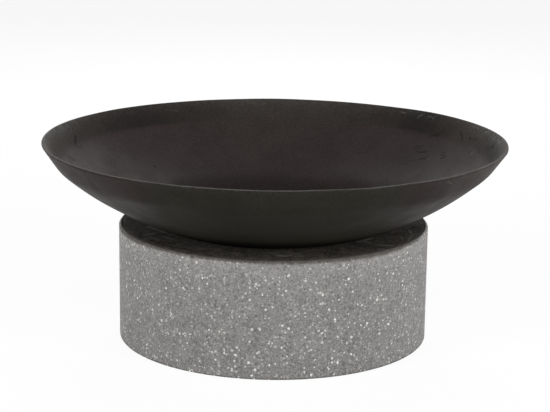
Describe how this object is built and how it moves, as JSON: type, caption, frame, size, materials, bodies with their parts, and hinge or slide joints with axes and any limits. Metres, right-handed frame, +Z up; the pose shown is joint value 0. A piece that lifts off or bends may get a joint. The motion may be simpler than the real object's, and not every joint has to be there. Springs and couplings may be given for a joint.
{
  "type": "fire bowl on base",
  "caption": "Wide shallow iron fire bowl that rests in the round opening of a low hollow drum base of speckled grey fibre cement with a black top.",
  "frame": {"origin": "centre of the base's foot, on the floor", "axes": "+Z up along the axis of the bowl and the base; X and Y are level, and any turn about Z is alike"},
  "size_m": [0.594, 0.594, 0.2568],
  "materials": {
    "blackened_iron": "matt, heat-blackened, faintly mottled and scuffed",
    "black_coated_cement": "matt black, streaked with light scuffs",
    "speckled_cement": "matt, mid grey with fine white and dark chips"
  },
  "bodies": {
    "base": {"base_shell": "speckled_cement", "top_ring": "black_coated_cement"},
    "bowl": {"fire_bowl": "blackened_iron"}
  },
  "joints": [
    {"name": "bowl_lift", "type": "slide", "parent": "base", "child": "bowl", "axis": [0, 0, 1], "range_m": [0, 0.15]}
  ]
}
